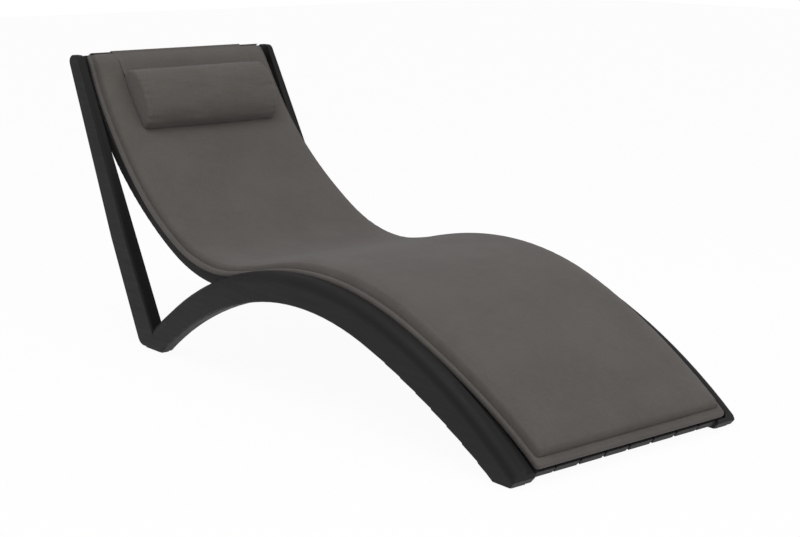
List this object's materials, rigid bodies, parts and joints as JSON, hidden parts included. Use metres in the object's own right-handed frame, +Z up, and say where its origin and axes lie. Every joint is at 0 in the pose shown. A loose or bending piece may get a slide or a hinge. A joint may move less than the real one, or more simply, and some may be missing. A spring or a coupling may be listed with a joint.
{
  "type": "sun lounger with cushion",
  "caption": "Low sun lounger with arched side frames, leaning rear legs, a curved slatted shell, a long quilted cushion and a headrest pillow hung over the top by a weighted flap.",
  "frame": {"origin": "on the floor, midway along the length and midway between the two side frames", "axes": "+X towards the foot end, +Z up, +Y towards the right-hand side frame as seen from the foot end"},
  "size_m": [1.7914, 0.664, 0.7447],
  "materials": {
    "frame": "satin stained near-black",
    "steel": "brushed",
    "spacer": "black",
    "glide": "matte",
    "cloth": "woven outdoor cloth, taupe grey",
    "foam": "open-cell foam and wadding"
  },
  "bodies": {
    "frame": {"side_frame_left": "frame", "side_frame_right": "frame", "edge_rail_left": "frame", "edge_rail_right": "frame", "slat_1": "frame", "slat_2": "frame", "slat_3": "frame", "slat_4": "frame", "slat_5": "frame", "slat_6": "frame", "slat_outer_left": "frame", "slat_outer_right": "frame", "crossbar_foot": "frame", "crossbar_crown": "frame", "crossbar_seat": "frame", "crossbar_lumbar": "frame", "crossbar_head": "frame", "slat_screws": "steel", "rail_bolts": "steel", "threaded_inserts": "steel", "rail_spacers": "spacer", "foot_glide_front_left": "glide", "foot_glide_front_right": "glide", "foot_glide_rear_left": "glide", "foot_glide_rear_right": "glide"},
    "cushion": {"cushion_cover": "cloth", "cushion_foam": "foam", "cushion_pocket": "cloth"},
    "strap": {"flap_over_top": "cloth"},
    "pillow": {"pillow_cover": "cloth", "pillow_filling": "foam", "pillow_flap_front": "cloth"},
    "counterweight": {"weight_pouch": "cloth", "weight_bar": "steel", "flap_rear": "cloth"}
  },
  "joints": [
    {"name": "cushion_lift_off", "type": "slide", "parent": "frame", "child": "cushion", "axis": [-0.4509, 0, 0.8926], "range_m": [0, 0.25]},
    {"name": "pillow_lift_off", "type": "slide", "parent": "cushion", "child": "strap", "axis": [-0.4509, 0, 0.8926], "range_m": [0, 0.3]},
    {"name": "pillow_height", "type": "hinge", "parent": "strap", "child": "pillow", "pos_m": [0.03318, 0, 1.18525], "axis": [0, 1, 0], "range_deg": [-3.5, 1.7], "deforming": ["pillow_flap_front"]},
    {"name": "counterweight_drop", "type": "slide", "parent": "strap", "child": "counterweight", "axis": [0, 0, -1], "range_m": [-0.06, 0.03], "deforming": ["flap_rear"]}
  ],
  "couplings": [
    {"joint": "counterweight_drop", "follows": "pillow_height", "m_per_rad": 0.9669}
  ]
}
